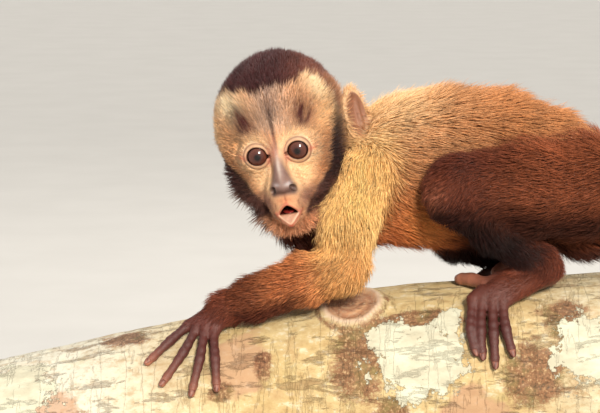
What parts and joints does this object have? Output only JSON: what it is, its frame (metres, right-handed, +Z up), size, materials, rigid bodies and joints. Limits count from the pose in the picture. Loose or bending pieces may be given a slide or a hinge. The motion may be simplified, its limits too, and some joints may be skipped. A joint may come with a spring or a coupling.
{
  "type": "capuchin monkey model",
  "caption": "Life-size still model of a young tufted capuchin monkey crouched along a cut length of branch, head turned to the side, held on a flat base by rods.",
  "frame": {"origin": "centre of the display base's underside", "axes": "+Z up, -Y the side the face looks to, +X towards the rump and along the branch"},
  "size_m": [0.461, 0.196, 0.3512],
  "materials": {
    "coat_gold": "soft golden-ochre fur, banded darker on the back",
    "coat_umber": "dark reddish-brown fur",
    "coat_cap": "short dense dark brown fur with cream face hair",
    "bare_skin": "creased dark purple-brown bare skin",
    "ear_skin": "thin pinkish-tan skin with fine hairs",
    "face_skin": "pale bare skin round the eyes and mouth",
    "eye": "wet glossy dark brown eye",
    "nail": "satin horn nail",
    "bark": "pale weathered bark with brown and white lichen",
    "stand_wood": "satin dark stained wood",
    "stand_steel": "satin"
  },
  "bodies": {
    "root": {"belly": "coat_gold", "chest": "coat_gold", "ear_left": "ear_skin", "ear_right": "ear_skin", "eye_left": "eye", "eye_right": "eye", "foot_left": "bare_skin", "foot_left_big": "bare_skin", "foot_left_fifth": "bare_skin", "foot_left_fourth": "bare_skin", "foot_left_second": "bare_skin", "foot_left_third": "bare_skin", "foot_right": "bare_skin", "foot_right_big": "bare_skin", "foot_right_fifth": "bare_skin", "foot_right_fourth": "bare_skin", "foot_right_second": "bare_skin", "foot_right_third": "bare_skin", "forearm_left": "coat_umber", "forearm_right": "coat_umber", "hand_left": "bare_skin", "hand_left_index": "bare_skin", "hand_left_little": "bare_skin", "hand_left_middle": "bare_skin", "hand_left_ring": "bare_skin", "hand_left_thumb": "bare_skin", "hand_right": "bare_skin", "hand_right_index": "bare_skin", "hand_right_little": "bare_skin", "hand_right_middle": "bare_skin", "hand_right_ring": "bare_skin", "hand_right_thumb": "bare_skin", "head": "coat_cap", "neck": "coat_gold", "perch_branch": "bark", "rump": "coat_umber", "shin_left": "coat_umber", "shin_right": "coat_umber", "stand_base": "stand_wood", "stand_rod_left": "stand_steel", "stand_rod_right": "stand_steel", "tail_1": "coat_umber", "tail_2": "coat_umber", "tail_3": "coat_umber", "tail_4": "coat_umber", "thigh_left": "coat_umber", "thigh_right": "coat_umber", "upper_arm_left": "coat_gold", "upper_arm_right": "coat_gold"}
  },
  "joints": []
}
